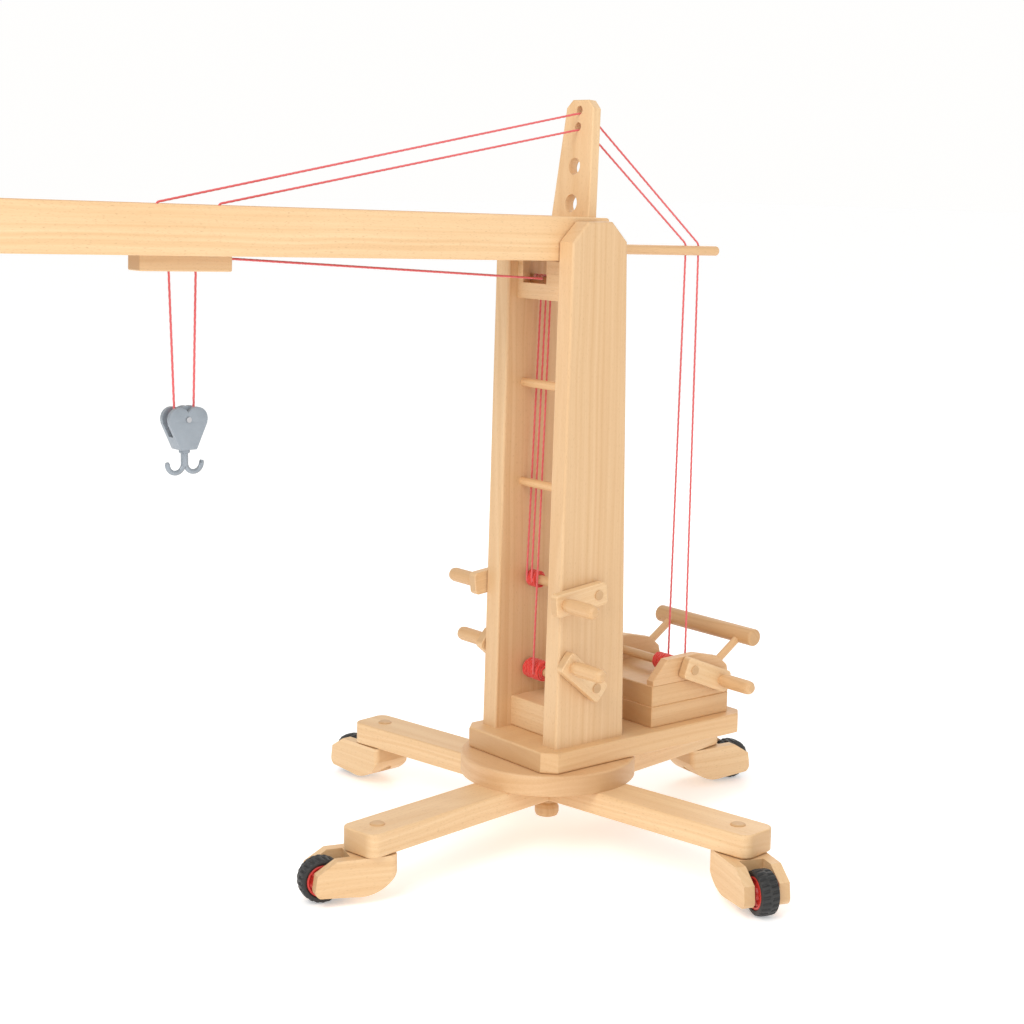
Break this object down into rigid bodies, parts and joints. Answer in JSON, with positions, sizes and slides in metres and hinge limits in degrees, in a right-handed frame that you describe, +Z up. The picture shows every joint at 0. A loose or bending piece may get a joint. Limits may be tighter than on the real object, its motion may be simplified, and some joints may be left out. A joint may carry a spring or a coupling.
{
  "type": "toy tower crane",
  "caption": "Wooden toy tower crane: luffing jib with trolley and rope-hung double hook, cranked winches, slewing platform with push bar, cross base on swivel casters.",
  "frame": {"origin": "on the floor, on the axis the turntable slews about", "axes": "+X along the jib towards its tip, +Y to the crane's left, +Z up"},
  "size_m": [1.0055, 0.648, 0.7675],
  "materials": {
    "beech": "satin oiled beech board",
    "beech_dowel": "satin oiled beech dowel",
    "rope": "braided cord",
    "tyre": "treaded rubber",
    "red_hub": "gloss",
    "grey_plastic": "silver-grey moulding",
    "pin_steel": "brushed"
  },
  "bodies": {
    "base": {"cross_beam_lower": "beech", "cross_beam_upper": "beech", "turntable_disc": "beech", "caster_swivel_bolts": "beech_dowel"},
    "turntable": {"platform_board": "beech", "centre_pivot": "beech_dowel", "left_tower_plank": "beech", "right_tower_plank": "beech", "tower_foot_block": "beech", "tower_rungs": "beech_dowel", "rope_guide_board": "beech", "rope_roller": "beech_dowel", "ballast_boards": "beech", "winch_cheeks": "beech", "push_bar": "beech_dowel", "push_bar_struts": "beech_dowel", "tower_ropes": "rope", "rear_falls": "rope"},
    "jib": {"jib_side_left": "beech", "jib_side_right": "beech", "jib_top_board": "beech", "jib_rails": "beech", "jib_end_blocks": "beech", "jib_pivot_dowel": "beech_dowel", "mast_board": "beech", "tail_rod": "beech_dowel", "stay_ropes": "rope", "jib_ropes": "rope"},
    "trolley": {"trolley_block": "beech", "trolley_carriage": "beech"},
    "falls": {"hoist_falls": "rope"},
    "block": {"hook_block": "grey_plastic", "sheave_pin": "pin_steel"},
    "sheave": {"hook_sheave": "grey_plastic"},
    "hook": {"double_hook": "grey_plastic"},
    "trolley_winch": {"trolley_winch_axle": "beech_dowel", "trolley_winch_rope_coil": "rope", "trolley_winch_crank_arms": "beech", "trolley_winch_crank_handles": "beech_dowel"},
    "hoist_winch": {"hoist_winch_axle": "beech_dowel", "hoist_winch_rope_coil": "rope", "hoist_winch_crank_arms": "beech", "hoist_winch_crank_handles": "beech_dowel"},
    "luff_winch": {"luff_winch_axle": "beech_dowel", "luff_winch_rope_coil": "rope", "luff_winch_crank_arms": "beech", "luff_winch_crank_handles": "beech_dowel"},
    "caster_front": {"caster_fork_front": "beech"},
    "wheel_front": {"wheel_hub_front": "red_hub", "tyre_front": "tyre"},
    "caster_left": {"caster_fork_left": "beech"},
    "wheel_left": {"wheel_hub_left": "red_hub", "tyre_left": "tyre"},
    "caster_rear": {"caster_fork_rear": "beech"},
    "wheel_rear": {"wheel_hub_rear": "red_hub", "tyre_rear": "tyre"},
    "caster_right": {"caster_fork_right": "beech"},
    "wheel_right": {"wheel_hub_right": "red_hub", "tyre_right": "tyre"}
  },
  "joints": [
    {"name": "slew", "type": "hinge", "parent": "base", "child": "turntable", "pos_m": [0, 0, 0.092], "axis": [0, 0, 1], "continuous": true},
    {"name": "jib_luff", "type": "hinge", "parent": "turntable", "child": "jib", "pos_m": [-0.004, 0, 0.63], "axis": [0, -1, 0], "range_deg": [0, 28], "deforming": ["rear_falls"]},
    {"name": "trolley_travel", "type": "slide", "parent": "jib", "child": "trolley", "axis": [0.9997, 0, 0.0262], "range_m": [-0.23, 0.13], "deforming": ["jib_ropes"]},
    {"name": "fall_swing", "type": "hinge", "parent": "trolley", "child": "falls", "pos_m": [0.4322, 0, 0.6045], "axis": [0, -1, 0], "range_deg": [-28, 0]},
    {"name": "hook_hoist", "type": "slide", "parent": "falls", "child": "block", "axis": [0, 0, 1], "range_m": [-0.34, 0.085], "deforming": ["hoist_falls"]},
    {"name": "hook_swivel", "type": "hinge", "parent": "block", "child": "hook", "pos_m": [0.4322, 0, 0.447], "axis": [0, 0, 1], "continuous": true},
    {"name": "sheave_spin", "type": "hinge", "parent": "block", "child": "sheave", "pos_m": [0.4322, 0, 0.4745], "axis": [0, -1, 0], "continuous": true},
    {"name": "trolley_crank", "type": "hinge", "parent": "turntable", "child": "trolley_winch", "pos_m": [-0.003, 0, 0.2726], "axis": [0, 1, 0], "range_deg": [-1779, 1005]},
    {"name": "hoist_crank", "type": "hinge", "parent": "turntable", "child": "hoist_winch", "pos_m": [-0.003, 0, 0.175], "axis": [0, 1, 0], "range_deg": [-3744, 935]},
    {"name": "luff_crank", "type": "hinge", "parent": "turntable", "child": "luff_winch", "pos_m": [-0.144, 0, 0.1725], "axis": [0, -1, 0], "range_deg": [0, 460]},
    {"name": "swivel_front", "type": "hinge", "parent": "base", "child": "caster_front", "pos_m": [0.24583, 0.0363, 0.04], "axis": [0, 0, 1], "continuous": true},
    {"name": "wheel_spin_front", "type": "hinge", "parent": "caster_front", "child": "wheel_front", "pos_m": [0.30034, 0.01964, 0.0225], "axis": [0.2924, 0.9563, 0], "continuous": true},
    {"name": "swivel_left", "type": "hinge", "parent": "base", "child": "caster_left", "pos_m": [-0.0363, 0.24583, 0.04], "axis": [0, 0, 1], "continuous": true},
    {"name": "wheel_spin_left", "type": "hinge", "parent": "caster_left", "child": "wheel_left", "pos_m": [-0.01681, 0.2994, 0.0225], "axis": [-0.9397, 0.342, 0], "continuous": true},
    {"name": "swivel_rear", "type": "hinge", "parent": "base", "child": "caster_rear", "pos_m": [-0.24583, -0.0363, 0.04], "axis": [0, 0, 1], "continuous": true},
    {"name": "wheel_spin_rear", "type": "hinge", "parent": "caster_rear", "child": "wheel_rear", "pos_m": [-0.30235, -0.02886, 0.0225], "axis": [-0.1305, -0.9914, 0], "continuous": true},
    {"name": "swivel_right", "type": "hinge", "parent": "base", "child": "caster_right", "pos_m": [0.0363, -0.24583, 0.04], "axis": [0, 0, 1], "continuous": true},
    {"name": "wheel_spin_right", "type": "hinge", "parent": "caster_right", "child": "wheel_right", "pos_m": [0.04028, -0.30269, 0.0225], "axis": [0.9976, 0.0698, 0], "continuous": true}
  ],
  "couplings": [
    {"joint": "trolley_travel", "follows": "trolley_crank", "m_per_rad": 0.0074},
    {"joint": "hook_hoist", "follows": "hoist_crank", "m_per_rad": 0.0052},
    {"joint": "fall_swing", "follows": "jib_luff", "ratio": -1},
    {"joint": "luff_crank", "follows": "jib_luff", "ratio": 16.4}
  ]
}
